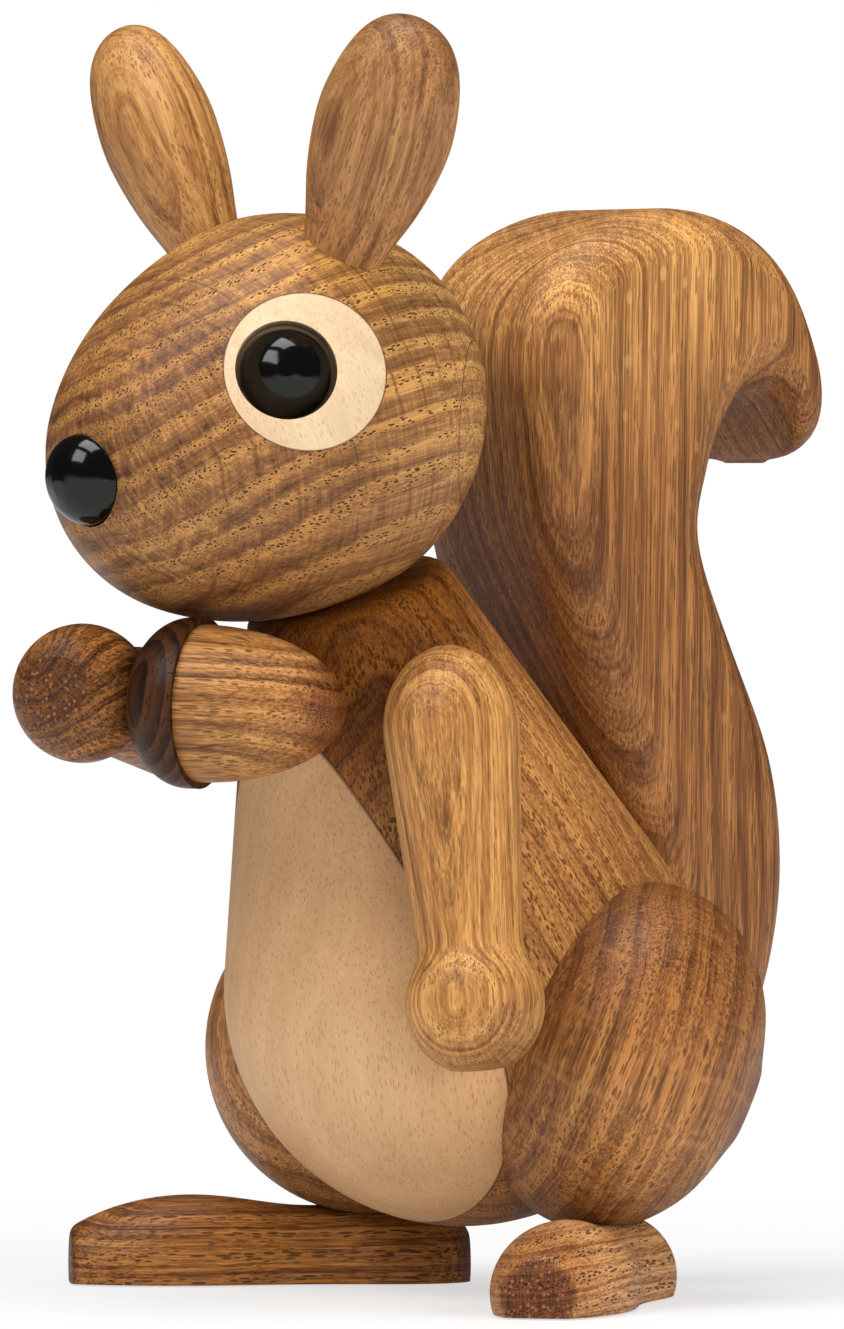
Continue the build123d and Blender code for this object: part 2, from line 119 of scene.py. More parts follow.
class Graph:
    """The nodes of one material or world, made by one method."""

    def __init__(self, name: str, world: bool = False) -> None:
        """Makes an empty material, or world, with its output node.

        Args:
            name: its name.
            world: whether it is a world.
        """
        self.material = (bpy.data.worlds if world else bpy.data.materials).new(name)
        self.material.use_nodes = True
        self.tree = self.material.node_tree
        self.tree.nodes.clear()
        self.output = self.make("ShaderNodeOutputWorld" if world else "ShaderNodeOutputMaterial", {}, {})

    def make(self, kind: str, settings: dict[str, Any], inputs: dict[SocketKey, Any]) -> bpy.types.Node:
        """Adds one node.

        Args:
            kind: the node's type.
            settings: its settings, set before its sockets. "stops" fills a colour ramp.
            inputs: socket number or name to a value or a Link.

        Returns:
            The node.
        """
        node = self.tree.nodes.new(kind)
        for key, value in settings.items():
            if key == "stops":
                ramp = node.color_ramp
                while len(ramp.elements) < len(value):
                    ramp.elements.new(0.5)
                for element, (place, colour) in zip(ramp.elements, value):
                    element.position = place
                    element.color = (*colour, 1.0)
            else:
                setattr(node, key, value)
        for key, value in inputs.items():
            socket = node.inputs[key]
            if isinstance(value, Link):
                self.tree.links.new(value.socket, socket)
            elif socket.type == "RGBA" and len(value) == 3:
                socket.default_value = (*value, 1.0)
            else:
                socket.default_value = value
        return node

    def link(self, kind: str, settings: dict[str, Any], inputs: dict[SocketKey, Any],
             out: SocketKey = 0) -> Link:
        """Adds one node and returns one of its outputs."""
        return Link(self, self.make(kind, settings, inputs).outputs[out])

    def place(self, origin: Point, along: Point) -> Link:
        """Millimetres in a frame of the piece's own.

        Args:
            origin: the frame's origin, in millimetres.
            along: the direction of the frame's third axis.

        Returns:
            The point as a vector.
        """
        turn = Vector(UPRIGHT).rotation_difference(Vector(along)).to_euler()
        point = self.link("ShaderNodeTexCoord", {}, {}, "Object")
        return self.link("ShaderNodeMapping", {"vector_type": "TEXTURE"}, {
            0: point, "Location": [c * MM for c in origin], "Rotation": tuple(turn), "Scale": (MM, MM, MM)})

    def split(self, vector: Link) -> tuple[Link, Link, Link]:
        """The three parts of a vector."""
        node = self.make("ShaderNodeSeparateXYZ", {}, {0: vector})
        return tuple(Link(self, out) for out in node.outputs)

    def joined(self, x: Number, y: Number, z: Number) -> Link:
        """A vector of three numbers."""
        return self.link("ShaderNodeCombineXYZ", {}, {0: x, 1: y, 2: z})

    def stretched(self, vector: Link, across: float, along: float) -> Link:
        """The vector divided by a cell's width across the grain and its length along it."""
        scale = (1 / across, 1 / across, 1 / along)
        return self.link("ShaderNodeVectorMath", {"operation": "MULTIPLY"}, {0: vector, 1: scale})

    def noise(self, vector: Link, detail: float, rough: float) -> Link:
        """Noise of one unit's size between about -0.5 and 0.5."""
        return self.link("ShaderNodeTexNoise", {"noise_dimensions": "3D"}, {
            "Vector": vector, "Scale": 1.0, "Detail": detail, "Roughness": rough}) - 0.5

    def cells(self, vector: Link) -> tuple[Link, Link]:
        """Scatters cells.

        Args:
            vector: the place, counted in cells.

        Returns:
            The distance to the middle of the nearest cell, and a random value for that cell.
        """
        node = self.make("ShaderNodeTexVoronoi", {"voronoi_dimensions": "3D", "feature": "F1"}, {
            "Vector": vector, "Scale": 1.0, "Randomness": 1.0})
        chance = self.link("ShaderNodeSeparateColor", {}, {0: Link(self, node.outputs["Color"])})
        return Link(self, node.outputs["Distance"]), chance

    def mix(self, amount: Number, first: Any, second: Any, blend: str = "MIX") -> Link:
        """Mixes two colours."""
        return self.link("ShaderNodeMix", {"data_type": "RGBA", "blend_type": blend}, {
            0: amount, MIX_FIRST: first, MIX_SECOND: second}, MIX_RESULT)

    def tinted(self, colour: Link, tint: Colour) -> Link:
        """A colour multiplied by a tint."""
        return self.mix(1.0, colour, tint, "MULTIPLY")

    def ramp(self, value: Link, stops: Sequence[tuple[float, Colour]]) -> Link:
        """A colour ramp."""
        return self.link("ShaderNodeValToRGB", {"stops": stops}, {0: value})

    def end_grain(self, along: Point) -> Link:
        """1 where the surface is cut across the fibres, 0 where it runs along them."""
        normal = self.link("ShaderNodeTexCoord", {}, {}, "Normal")
        return abs(self.link("ShaderNodeVectorMath", {"operation": "DOT_PRODUCT"}, {
            0: normal, 1: along}, "Value"))

    def surface(self, colour: Any, roughness: Number, height: Link, depth: float,
                **fixed: float) -> bpy.types.Material:
        """Finishes the material with one Principled shader.

        Args:
            colour: the base colour.
            roughness: the roughness.
            height: the bump, between 0 and 1.
            depth: what a height of 1 stands for, in metres.
            **fixed: other sockets, set to plain numbers, with _ for a space.

        Returns:
            The material.
        """
        bump = self.link("ShaderNodeBump", {}, {"Strength": 1.0, "Distance": depth, "Height": height})
        others = {key.replace("_", " "): value for key, value in fixed.items()}
        shader = self.link("ShaderNodeBsdfPrincipled", {}, {
            "Base Color": colour, "Roughness": roughness, "Normal": bump, **others})
        self.tree.links.new(shader.socket, self.output.inputs["Surface"])
        return self.material


@dataclass(frozen=True)
class Layer:
    """Soft noise, with its width across the grain and its length along it in millimetres."""

    across: float
    along: float
    detail: float = 2.0
    rough: float = 0.5

    def on(self, graph: Graph, point: Link) -> Link:
        """The layer's value at a point, between about -0.5 and 0.5."""
        return graph.noise(graph.stretched(point, self.across, self.along), self.detail, self.rough)


@dataclass(frozen=True)
class Specks:
    """Scattered spots, one to a cell, with their size, its spread and their sharpness in cells."""

    size: float
    spread: float
    sharp: float

    def on(self, graph: Graph, vector: Link) -> tuple[Link, Link]:
        """Marks the spots.

        Args:
            graph: the material's nodes.
            vector: the place, counted in cells.

        Returns:
            1 inside a spot and 0 outside, and a random value for the spot.
        """
        near, chance = graph.cells(vector)
        return ((self.size + chance * self.spread - near) * self.sharp).clamp(), chance


@dataclass(frozen=True)
class Seam:
    """A joint where a flat or a round face meets the surface, darkened with painted shade as in a gap, in
    millimetres.
    """

    origin: Point
    axis: Point
    radius: float = 0.0
    width: float = 0.22
    core_share: float = 0.3

    def mask(self, graph: Graph) -> Link:
        """Marks the painted shade along the joint.

        Args:
            graph: the material's nodes.

        Returns:
            1 on the joint and 0 away from it.
        """
        x, y, z = graph.split(graph.place(self.origin, self.axis))
        if self.radius > 0:
            away = abs((x * x + y * y) ** 0.5 - self.radius)
        else:
            away = abs(z)
        return away.rise(self.width, self.width * self.core_share)


@dataclass(frozen=True)
class LightAndStainPatch:
    """A soft patch laid over the wood's colour, in millimetres: most are painted light and shade, a few
    darken end grain.
    """

    origin: Point
    radius: float
    soft: float
    tint: Colour

    def lay(self, graph: Graph, colour: Link) -> Link:
        """Lays the patch over a colour.

        Args:
            graph: the material's nodes.
            colour: the wood's colour.

        Returns:
            The colour with the patch.
        """
        x, y, z = graph.split(graph.place(self.origin, UPRIGHT))
        inside = ((x * x + y * y + z * z) ** 0.5).rise(self.radius + self.soft, self.radius)
        return graph.mix(inside, colour, graph.tinted(colour, self.tint))


def marked(graph: Graph, colour: Link, light_and_stain_patches: Sequence[LightAndStainPatch], seams: Sequence[Seam], gap_shade: Colour,
           gap_shade_share: float) -> Link:
    """Lays the patches, most of them painted light and shade, and then the painted shade along the joints
    over a wood.

    Args:
        graph: the material's nodes.
        colour: the wood's colour.
        light_and_stain_patches: the patches, most of them painted light and shade, a few darker end grain.
        seams: the joints, darkened with painted shade.
        gap_shade: the painted shade's colour.
        gap_shade_share: how much of it shows.

    Returns:
        The colour with both.
    """
    # Most patches are painted light and shade; a few darken end grain.
    for light_and_stain_patch in light_and_stain_patches:
        colour = light_and_stain_patch.lay(graph, colour)
    # Painted shade along each joint, as in the gap between two pieces.
    for seam in seams:
        colour = graph.mix(seam.mask(graph) * gap_shade_share, colour, gap_shade)
    return colour


@dataclass(frozen=True)
class Tones:
    """The three colours of an oak board, from its palest to its darkest streaks."""

    pale: Colour
    middle: Colour
    dark: Colour


@dataclass(frozen=True)
class Board:
    """Where a point lies in the log that the oak was sawn from, and in its year ring."""

    point: Link
    along: Link
    radius: Link
    turn: Link
    end: Link
    ragged: Link
    early: Link
    late: Link


@dataclass(frozen=True)
class OakFinish:
    """Oiled oak: year rings of uneven width, rows of pores, fine fibres and rays.

    grain is the way the fibres run, and heart a point on the log's middle line in millimetres. Fields
    that end in share say how strongly a feature shows.
    """

    name: str
    grain: Point
    heart: Point
    tones: Tones
    pore: Colour = (0.090, 0.031, 0.009)
    ray: Colour = (0.58, 0.28, 0.085)
    arc_colour: Colour = (0.12, 0.042, 0.013)
    ring: float = 4.0
    wander: float = 2.0
    early: float = 0.30
    pore_width: float = 0.40
    pore_length: float = 3.0
    pore_size: float = 0.10
    arc: float = 4.5
    pore_share: float = 0.75
    halo_share: float = 0.4
    ray_share: float = 0.3
    ring_share: float = 0.18
    line_share: float = 1.6
    streak_share: float = 0.8
    fibre_share: float = 1.3
    comb_share: float = 0.9
    cross_share: float = 0.0
    crack_share: float = 0.0
    dot_share: float = 0.0
    arc_share: float = 0.0
    end_share: float = 0.3
    # Joints, darkened with painted shade.
    seams: tuple[Seam, ...] = ()
    # Patches laid over the colour: painted light and shade, and darker end grain.
    light_and_stain_patches: tuple[LightAndStainPatch, ...] = ()

    # The oak's layers of soft noise
    SLOW: ClassVar[Layer] = Layer(30.0, 110.0, 1.0)
    BEND: ClassVar[Layer] = Layer(6.0, 38.0)
    RAGGED: ClassVar[Layer] = Layer(0.9, 12.0, 2.0, 0.6)
    STREAK: ClassVar[Layer] = Layer(1.3, 50.0, 4.0, 0.7)
    FIBRE: ClassVar[Layer] = Layer(0.26, 16.0, 2.0, 0.7)
    BLOTCH: ClassVar[Layer] = Layer(14.0, 30.0)
    ARC_PATCH: ClassVar[Layer] = Layer(9.0, 9.0, 1.0)

    # Sizes of its finer marks in millimetres, and around the log in cells to a radian
    LINE_WIDTH: ClassVar[float] = 0.62
    LINE_LENGTH: ClassVar[float] = 60.0
    COMB_TURN: ClassVar[float] = 170.0
    COMB_DEPTH: ClassVar[float] = 7.0
    COMB_LENGTH: ClassVar[float] = 2.5
    CROSS_DEPTH: ClassVar[float] = 12.0
    CROSS_LENGTH: ClassVar[float] = 0.6
    CROSS_TURN: ClassVar[float] = 7.0
    RAY_TURN: ClassVar[float] = 54.0
    RAY_DEPTH: ClassVar[float] = 70.0
    RAY_LENGTH: ClassVar[float] = 9.0
    HAIR_WIDTH: ClassVar[float] = 0.28
    HAIR_LENGTH: ClassVar[float] = 4.5
    CRACK_WIDTH: ClassVar[float] = 2.8
    CRACK_LENGTH: ClassVar[float] = 95.0
    DOT_WIDTH: ClassVar[float] = 0.85
    DOT_LENGTH: ClassVar[float] = 2.5

    HAIR: ClassVar[Specks] = Specks(0.17, 0.14, 8.0)
    SLIT: ClassVar[Specks] = Specks(0.11, 0.05, 16.0)
    DOT: ClassVar[Specks] = Specks(0.26, 0.12, 7.0)

    # How strongly the marks that no board changes show
    BLOTCH_SHARE: ClassVar[float] = 0.55
    HAIR_SHARE: ClassVar[float] = 0.3
    # The joints' dark colour is painted shade, as in the gaps between pieces.
    GLUE: ClassVar[Colour] = (0.060, 0.025, 0.008)
    GLUE_SHARE: ClassVar[float] = 0.75
    END_TINT: ClassVar[Colour] = (0.38, 0.28, 0.21)

    # The surface: how deep its bump is in metres and how much it shines
    RELIEF: ClassVar[float] = 0.0003
    SHINE: ClassVar[float] = 0.32

    def build(self) -> bpy.types.Material:
        """Makes the material.

        Returns:
            The material.
        """
        graph = Graph(self.name)
        board = self._board(graph)
        width = (board.radius + board.ragged * 0.3) / self.LINE_WIDTH
        line = graph.noise(graph.joined(width, board.along / self.LINE_LENGTH, 0.0), 4.0, 0.85)
        fibre = self.FIBRE.on(graph, board.point)
        colour = self._figured(graph, board, line, fibre)
        colour, dents = self._pored(graph, board, colour)
        colour = self._rayed(graph, board, colour)
        if self.arc_share > 0:
            colour = self._arched(graph, board, colour)
        if self.crack_share > 0:
            colour = self._cracked(graph, board, colour)
        colour = self._ended(graph, board, colour)
        # Lays the painted light and shade patches, then the painted shade along the joints.
        colour = marked(graph, colour, self.light_and_stain_patches, self.seams, self.GLUE, self.GLUE_SHARE)
        height = 0.6 - dents * 0.55 + fibre * 0.3 + line * 0.12
        roughness = 0.46 + dents * 0.2 + fibre * 0.15
        return graph.surface(colour, roughness, height, self.RELIEF, Specular_IOR_Level=self.SHINE)

    def _board(self, graph: Graph) -> Board:
        """Works out the place in the log and in its rings.

        Args:
            graph: the material's nodes.

        Returns:
            What the oak's marks share.
        """
        point = graph.place(self.heart, self.grain)
        x, y, z = graph.split(point)
        slow = self.SLOW.on(graph, point)
        bend = self.BEND.on(graph, point)
        ragged = self.RAGGED.on(graph, point)
        radius = (x * x + y * y) ** 0.5 + slow * (self.wander * 4) + bend * self.wander
        uneven = graph.noise(graph.joined(radius / (self.ring * 2.3), 0.0, 0.0), 1.0, 0.5)
        cycle = (radius / self.ring + uneven * 1.3 + ragged * 0.30).part()
        early = cycle.rise(self.early + 0.16, self.early - 0.10) * cycle.rise(0.0, 0.06)
        late = cycle.rise(0.30, 0.95) * cycle.rise(1.0, 0.94)
        return Board(point, z, radius, y.turn_of(x), graph.end_grain(self.grain), ragged, early, late)

    def _figured(self, graph: Graph, board: Board, line: Link, fibre: Link) -> Link:
        """Colours the rings, lines, streaks and fibres.

        Args:
            graph: the material's nodes.
            board: the place in the log.
            line: the thin growth lines.
            fibre: the fibres.

        Returns:
            The wood's colour before its pores and rays.
        """
        streak = self.STREAK.on(graph, board.point)
        blotch = self.BLOTCH.on(graph, board.point)
        comb = graph.noise(graph.joined(
            board.turn * self.COMB_TURN, board.radius / self.COMB_DEPTH, board.along / self.COMB_LENGTH),
            2.0, 0.7) * board.end.rise(0.2, 0.9)
        cross = graph.noise(graph.joined(
            board.radius / self.CROSS_DEPTH, board.along / self.CROSS_LENGTH, board.turn * self.CROSS_TURN),
            3.0, 0.7) * (1.0 - board.early)
        tone = (0.48 + cross * self.cross_share + (board.late - board.early * 0.5) * self.ring_share
                + line * self.line_share + streak * self.streak_share + fibre * self.fibre_share
                + blotch * self.BLOTCH_SHARE + comb * self.comb_share)
        return graph.ramp(tone.clamp(), (
            (0.18, self.tones.pale), (0.52, self.tones.middle), (0.92, self.tones.dark)))

    def _pored(self, graph: Graph, board: Board, colour: Link) -> tuple[Link, Link]:
        """Opens the rows of pores, with a pale halo in the early wood, and the hair-thin vessels.

        Args:
            graph: the material's nodes.
            board: the place in the log.
            colour: the wood so far.

        Returns:
            The colour with the pores, and 1 where the surface is dented.
        """
        near, chance = graph.cells(graph.stretched(board.point, self.pore_width, self.pore_length))
        size = self.pore_size + board.early * 0.25 + chance * 0.06
        pore = ((size - near) * 9.0).clamp()
        halo = ((size + 0.19 - near) * 6.0).clamp() * board.early
        hair, _ = self.HAIR.on(graph, graph.stretched(board.point, self.HAIR_WIDTH, self.HAIR_LENGTH))
        colour = graph.mix(halo * self.halo_share, colour, self.tones.pale)
        dents = pore.larger(hair * self.HAIR_SHARE)
        return graph.mix(dents * self.pore_share, colour, self.pore), dents

    def _rayed(self, graph: Graph, board: Board, colour: Link) -> Link:
        """Adds the thin sheets that run from the log's middle outwards.

        Args:
            graph: the material's nodes.
            board: the place in the log.
            colour: the wood so far.

        Returns:
            The colour with the rays.
        """
        ray, _ = self.SLIT.on(graph, graph.joined(
            board.turn * self.RAY_TURN, board.radius / self.RAY_DEPTH, board.along / self.RAY_LENGTH))
        return graph.mix(ray * self.ray_share, colour, self.ray)

    def _arched(self, graph: Graph, board: Board, colour: Link) -> Link:
        """Adds thin broken arcs across the grain.

        Args:
            graph: the material's nodes.
            board: the place in the log.
            colour: the wood so far.

        Returns:
            The colour with the arcs.
        """
        patch = self.ARC_PATCH.on(graph, board.point)
        arcs = abs((board.along / self.arc + patch * 0.5 + board.radius / 60.0).part() - 0.5)
        thin = arcs.rise(0.08, 0.015) * patch.rise(-0.12, 0.10) * (0.7 + board.ragged).clamp()
        return graph.mix(thin * self.arc_share, colour, self.arc_colour)

    def _cracked(self, graph: Graph, board: Board, colour: Link) -> Link:
        """Adds long thin cracks along the grain.

        Args:
            graph: the material's nodes.
            board: the place in the log.
            colour: the wood so far.

        Returns:
            The colour with the cracks.
        """
        crack, _ = self.SLIT.on(graph, graph.stretched(board.point, self.CRACK_WIDTH, self.CRACK_LENGTH))
        return graph.mix(crack * self.crack_share, colour, self.pore)

    def _ended(self, graph: Graph, board: Board, colour: Link) -> Link:
        """Darkens the end grain, which drinks more oil, and dots it with cut vessels.

        Args:
            graph: the material's nodes.
            board: the place in the log.
            colour: the wood so far.

        Returns:
            The colour with the end grain.
        """
        shade = graph.tinted(colour, self.END_TINT)
        colour = graph.mix(board.end.rise(0.45, 1.0) * self.end_share, colour, shade)
        dots, _ = self.DOT.on(graph, graph.stretched(board.point, self.DOT_WIDTH, self.DOT_LENGTH))
        return graph.mix(dots * board.end.rise(0.72, 0.92) * self.dot_share, colour, self.tones.pale)


@dataclass(frozen=True)
class MapleFinish:
    """Pale close-grained wood with short fine reddish flecks."""

    name: str
    grain: Point
    heart: Point
    pale: Colour = (0.715, 0.435, 0.212)
    warm: Colour = (0.55, 0.297, 0.126)
    fleck: Colour = (0.47, 0.205, 0.080)
    ring: float = 6.0
    # Joints, darkened with painted shade.
    seams: tuple[Seam, ...] = ()
    # Patches laid over the colour: painted light and shade.
    light_and_stain_patches: tuple[LightAndStainPatch, ...] = ()

    SLOW: ClassVar[Layer] = Layer(25.0, 90.0, 1.0)
    FIBRE: ClassVar[Layer] = Layer(0.22, 3.0, 2.0, 0.65)
    STREAK: ClassVar[Layer] = Layer(1.6, 30.0, 3.0, 0.65)
    BLOTCH: ClassVar[Layer] = Layer(12.0, 20.0, 1.0)
    DASH: ClassVar[Specks] = Specks(0.26, 0.16, 6.0)
    DASH_WIDTH: ClassVar[float] = 0.36
    DASH_LENGTH: ClassVar[float] = 1.8
    WANDER: ClassVar[float] = 7.0
    # The joints' dark colour is painted shade, as in the gaps between pieces.
    GLUE: ClassVar[Colour] = (0.16, 0.075, 0.03)
    GLUE_SHARE: ClassVar[float] = 0.7
    END_TINT: ClassVar[Colour] = (0.74, 0.66, 0.58)
    RELIEF: ClassVar[float] = 0.0001
    SHINE: ClassVar[float] = 0.32

    def build(self) -> bpy.types.Material:
        """Makes the material.

        Returns:
            The material.
        """
        graph = Graph(self.name)
        point = graph.place(self.heart, self.grain)
        x, y, _ = graph.split(point)
        radius = (x * x + y * y) ** 0.5 + self.SLOW.on(graph, point) * self.WANDER
        cycle = (radius / self.ring).part()
        late = cycle.rise(0.2, 0.9) * cycle.rise(1.0, 0.9)
        fibre = self.FIBRE.on(graph, point)
        streak = self.STREAK.on(graph, point)
        blotch = self.BLOTCH.on(graph, point)
        tone = 0.44 + late * 0.12 + streak * 0.60 + fibre * 0.55 + blotch * 0.5
        colour = graph.ramp(tone.clamp(), ((0.2, self.pale), (0.9, self.warm)))
        dash, chance = self.DASH.on(graph, graph.stretched(point, self.DASH_WIDTH, self.DASH_LENGTH))
        dash = dash * chance.rise(0.0, 0.4)
        colour = graph.mix(dash * 0.7, colour, self.fleck)
        end = graph.end_grain(self.grain).rise(0.5, 1.0)
        colour = graph.mix(end * 0.3, colour, graph.tinted(colour, self.END_TINT))
        # Lays the painted light and shade patches, then the painted shade along the joints.
        colour = marked(graph, colour, self.light_and_stain_patches, self.seams, self.GLUE, self.GLUE_SHARE)
        height = 0.6 - dash * 0.15 + fibre * 0.15
        return graph.surface(colour, 0.5 + fibre * 0.1, height, self.RELIEF, Specular_IOR_Level=self.SHINE)


@dataclass(frozen=True)
class DarkWoodFinish:
    """Nearly black brown wood with fine open pores."""

    name: str
    grain: Point
    heart: Point
    light: Colour = (0.092, 0.030, 0.0075)
    dark: Colour = (0.013, 0.0036, 0.0010)
    pore: Colour = (0.012, 0.005, 0.003)
    ring: float = 1.7
    wander: float = 2.4

    SLOW: ClassVar[Layer] = Layer(12.0, 60.0)
    STREAK: ClassVar[Layer] = Layer(0.8, 12.0, 3.0, 0.65)
    PORE: ClassVar[Specks] = Specks(0.2, 0.1, 9.0)
    PORE_WIDTH: ClassVar[float] = 0.45
    PORE_LENGTH: ClassVar[float] = 2.4
    RELIEF: ClassVar[float] = 0.0002
    SHINE: ClassVar[float] = 0.2

    def build(self) -> bpy.types.Material:
        """Makes the material.

        Returns:
            The material.
        """
        graph = Graph(self.name)
        point = graph.place(self.heart, self.grain)
        x, y, _ = graph.split(point)
        slow = self.SLOW.on(graph, point)
        cycle = ((x * x + y * y) ** 0.5 / self.ring + slow * self.wander).part()
        streak = self.STREAK.on(graph, point)
        tone = 0.35 + cycle.rise(0.1, 0.9) * 0.4 + streak * 0.8
        colour = graph.ramp(tone.clamp(), ((0.15, self.light), (0.8, self.dark)))
        pore, _ = self.PORE.on(graph, graph.stretched(point, self.PORE_WIDTH, self.PORE_LENGTH))
        colour = graph.mix(pore * 0.8, colour, self.pore)
        height = 0.6 - pore * 0.5 + streak * 0.1
        return graph.surface(colour, 0.44 + pore * 0.2, height, self.RELIEF, Specular_IOR_Level=self.SHINE)


@dataclass(frozen=True)
class RodFinish:
    """Plain dowel rod with faint streaks along it."""

    name: str
    grain: Point
    base: Colour = (0.52, 0.34, 0.17)
    streak_tint: float = 0.66

    STREAK: ClassVar[Layer] = Layer(0.5, 9.0, 3.0, 0.6)
    RELIEF: ClassVar[float] = 0.0001

    def build(self) -> bpy.types.Material:
        """Makes the material.

        Returns:
            The material.
        """
        graph = Graph(self.name)
        streak = self.STREAK.on(graph, graph.place(ORIGIN, self.grain))
        deep = tuple(c * self.streak_tint for c in self.base)
        colour = graph.ramp((0.5 + streak).clamp(), ((0.2, self.base), (0.8, deep)))
        return graph.surface(colour, 0.6 + streak * 0.1, 0.5 + streak * 0.3, self.RELIEF)


@dataclass(frozen=True)
class GlossFinish:
    """Black glass-like beads, with a faint haze and a few specks of dust."""

    name: str = "black_gloss"
    base: Colour = (0.0030, 0.0028, 0.0025)
    dust: Colour = (0.25, 0.22, 0.18)

    HAZE: ClassVar[Layer] = Layer(3.0, 3.0, 3.0, 0.6)
    DUST_CELL: ClassVar[float] = 0.9
    RELIEF: ClassVar[float] = 0.00008
    SHINE: ClassVar[float] = 0.34

    def build(self) -> bpy.types.Material:
        """Makes the material.

        Returns:
            The material.
        """
        graph = Graph(self.name)
        point = graph.place(ORIGIN, UPRIGHT)
        haze = self.HAZE.on(graph, point)
        near, chance = graph.cells(graph.stretched(point, self.DUST_CELL, self.DUST_CELL))
        dust = ((0.07 - near) * 30.0).clamp() * chance.rise(0.7, 0.8)
        colour = graph.mix(dust * 0.35, self.base, self.dust)
        roughness = 0.09 + (haze + 0.5) * 0.06 + dust * 0.3
        return graph.surface(colour, roughness, 0.5 + haze * 0.1, self.RELIEF, Specular_IOR_Level=self.SHINE)


@dataclass(frozen=True)
class MetalFinish:
    """Plated magnet metal with turning marks."""

    name: str = "plated_metal"
    base: Colour = (0.56, 0.56, 0.57)

    MARKS: ClassVar[Layer] = Layer(0.25, 0.25, 3.0, 0.6)
    RELIEF: ClassVar[float] = 0.00003

    def build(self) -> bpy.types.Material:
        """Makes the material.

        Returns:
            The material.
        """
        graph = Graph(self.name)
        marks = self.MARKS.on(graph, graph.place(ORIGIN, UPRIGHT))
        return graph.surface(self.base, 0.30 + marks * 0.2, 0.5 + marks * 0.4, self.RELIEF, Metallic=1.0)


@dataclass(frozen=True)
class FibreFinish:
    """Pressed fibre washers."""

    name: str = "pressed_fibre"
    base: Colour = (0.12, 0.085, 0.06)
    light: Colour = (0.22, 0.17, 0.12)
    roughness: float = 0.85

    FUZZ: ClassVar[Layer] = Layer(0.2, 0.2, 4.0, 0.7)
    RELIEF: ClassVar[float] = 0.0002

    def build(self) -> bpy.types.Material:
        """Makes the material.

        Returns:
            The material.
        """
        graph = Graph(self.name)
        fuzz = self.FUZZ.on(graph, graph.place(ORIGIN, UPRIGHT))
        colour = graph.mix((fuzz + 0.5).clamp() * 0.6, self.base, self.light)
        return graph.surface(colour, self.roughness, 0.5 + fuzz * 0.5, self.RELIEF)


Finish = Union[OakFinish, MapleFinish, DarkWoodFinish, RodFinish, GlossFinish, MetalFinish, FibreFinish]

ROD_UPRIGHT = RodFinish("rod_upright", UPRIGHT)
ROD_LEVEL = RodFinish("rod_level", (0.0, 1.0, 0.0))
ROD_ACROSS = RodFinish("rod_across", (1.0, 0.3, -0.4))


def dress(node: str, finish: Finish) -> None:
    """Gives a CAD node its material.

    Args:
        node: the node's name.
        finish: its finish.
    """
    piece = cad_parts[node]
    material = bpy.data.materials.get(finish.name) or finish.build()
    piece.data.materials.clear()
    piece.data.materials.append(material)
    LOG.info("dressed %s with %s", node, finish.name)


class Side(Enum):
    """The squirrel's two sides, with the sign of X on each."""

    LEFT = 1
    RIGHT = -1

    @property
    def word(self) -> str:
        """The side's word in the nodes' names."""
        return self.name.lower()

    def of(self, place: Point) -> Point:
        """A place or a direction on the left side, or its mirror image on the right."""
        return (self.value * place[0], *place[1:])


THIGH_TONES = {
    Side.LEFT: Tones((0.40, 0.158, 0.040), (0.228, 0.081, 0.020), (0.090, 0.027, 0.006)),
    Side.RIGHT: Tones((0.46, 0.200, 0.060), (0.275, 0.108, 0.032), (0.110, 0.036, 0.009)),
}
# Lit and shaded copies of one foot wood: the left foot's tones are painted lighter for the light it catches,
# the right foot's darker for painted shade under the body.
FOOT_TONES = {
    Side.LEFT: Tones((0.68, 0.36, 0.15), (0.46, 0.215, 0.078), (0.19, 0.067, 0.020)),
    Side.RIGHT: Tones((0.50, 0.205, 0.046), (0.27, 0.096, 0.018), (0.070, 0.018, 0.003)),
}
EAR_TONES = {
    Side.LEFT: Tones((0.50, 0.245, 0.088), (0.34, 0.150, 0.050), (0.15, 0.056, 0.018)),
    Side.RIGHT: Tones((0.62, 0.315, 0.098), (0.44, 0.198, 0.056), (0.17, 0.062, 0.015)),
}
TOE_TINTS = {Side.LEFT: (0.74, 0.60, 0.46), Side.RIGHT: (1.0, 0.98, 0.92)}


